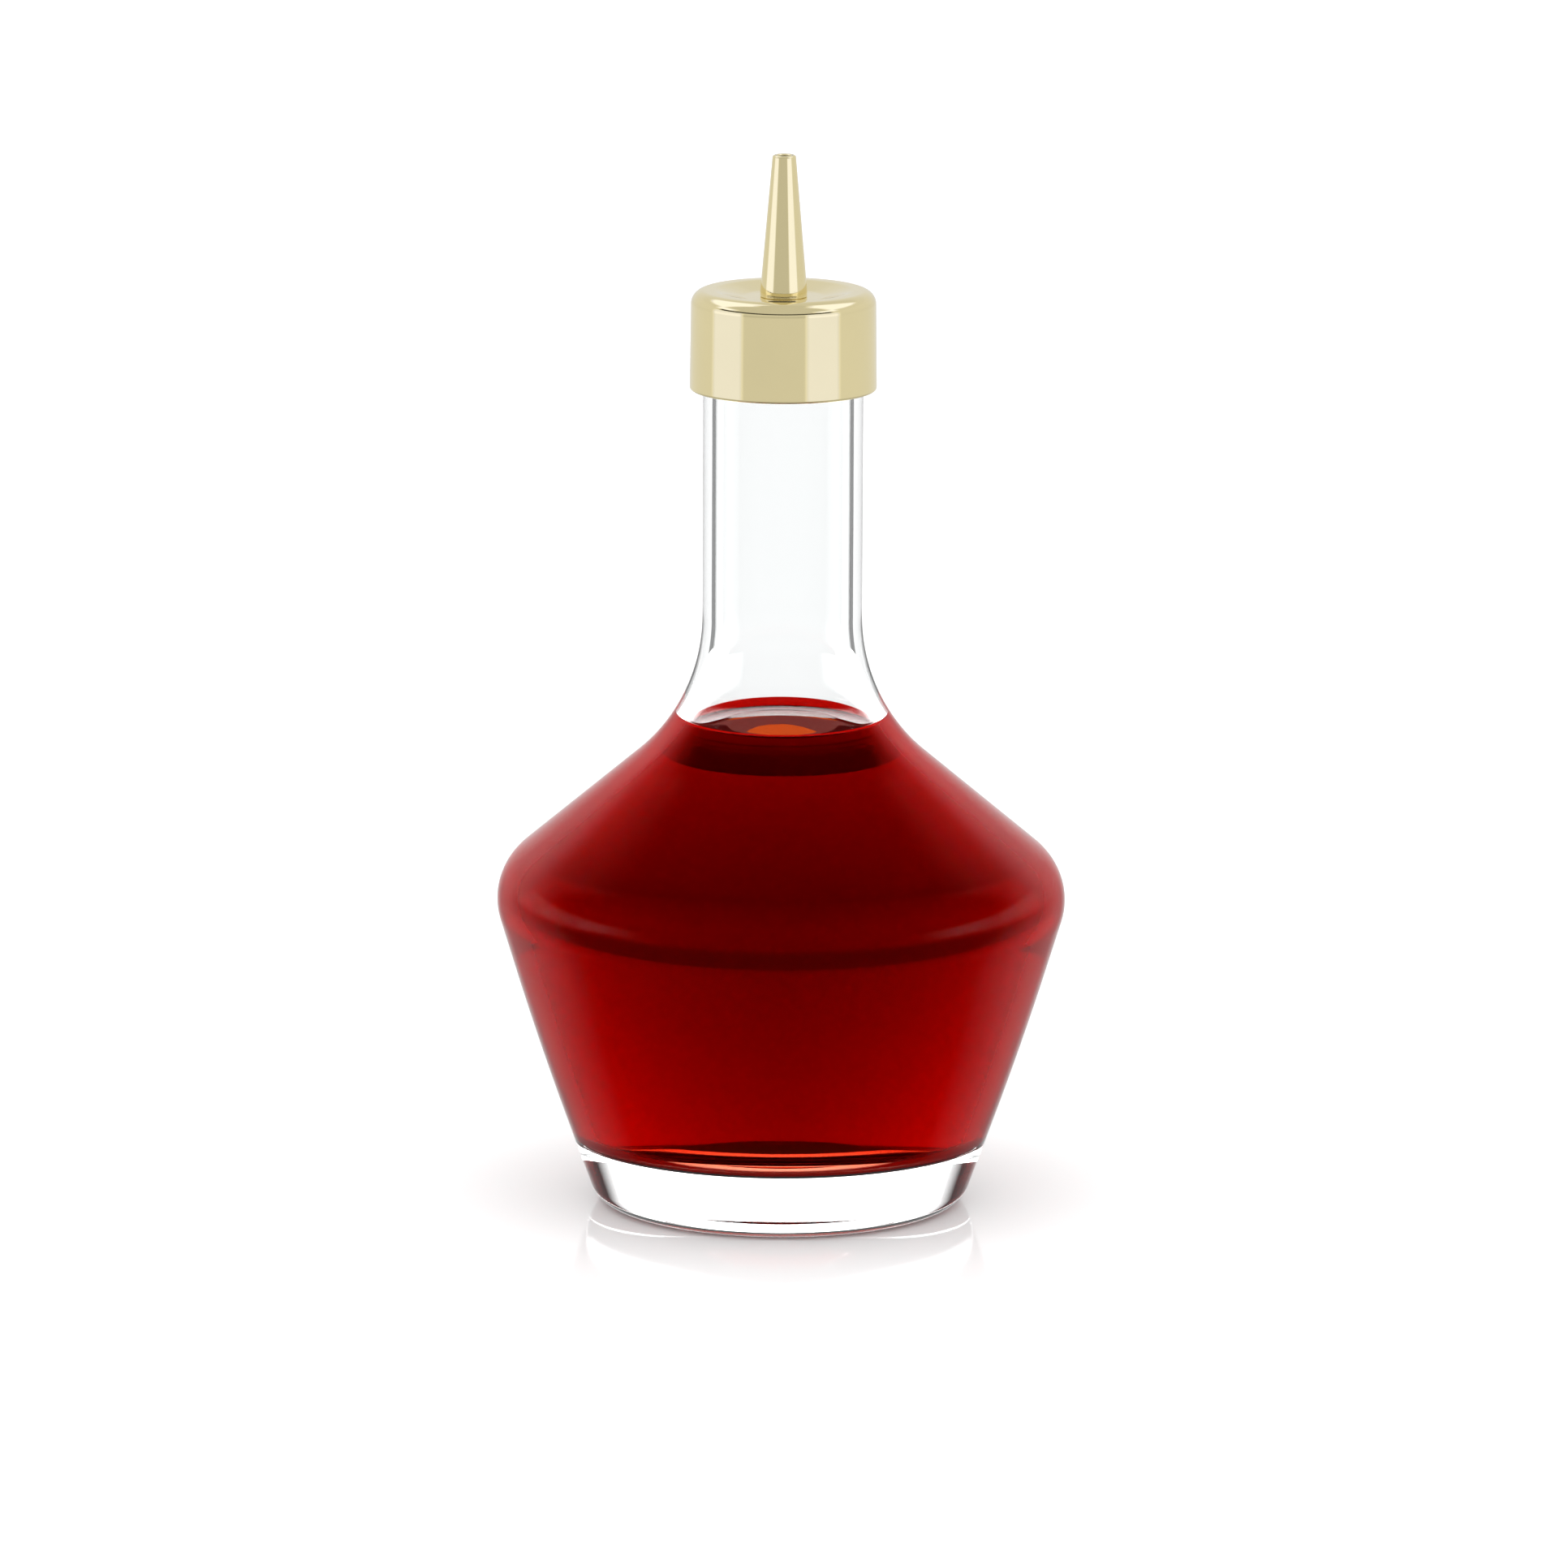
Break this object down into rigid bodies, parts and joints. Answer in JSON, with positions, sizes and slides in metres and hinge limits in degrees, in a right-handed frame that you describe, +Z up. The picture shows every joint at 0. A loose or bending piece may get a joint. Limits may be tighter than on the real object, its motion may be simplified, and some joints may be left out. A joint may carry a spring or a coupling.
{
  "type": "bitters bottle",
  "caption": "Glass bitters bottle with a wide belly, long neck and thick clear base, closed by a gold-plated cap whose tapered dasher nozzle lifts off with a ribbed stopper.",
  "frame": {"origin": "centre of the base, in the plane of the bearing ring that the bottle stands on", "axes": "+Z up along the bottle's axis of revolution, from the base to the nozzle's tip; the bottle is round, so X and Y are free, with the picture taken from -Y"},
  "size_m": [0.07, 0.07, 0.1303],
  "materials": {
    "clear_glass": "blown and fire-polished",
    "red_bitters": "clear dark red liquid",
    "gold_plate": "polished champagne gold plate",
    "clear_silicone": "matt moulded silicone",
    "black_rubber": "matt moulded rubber",
    "stainless_steel": "machined"
  },
  "bodies": {
    "bottle": {"glass_bottle": "clear_glass", "bitters": "red_bitters"},
    "dasher_top": {"cap_shell": "gold_plate", "dasher_nozzle": "gold_plate", "nozzle_seal": "black_rubber", "stopper": "clear_silicone", "clamp_washer": "stainless_steel", "stem_nut": "stainless_steel"}
  },
  "joints": [
    {"name": "dasher_top_lift", "type": "slide", "parent": "bottle", "child": "dasher_top", "axis": [0, 0, 1], "range_m": [0, 0.03]}
  ]
}
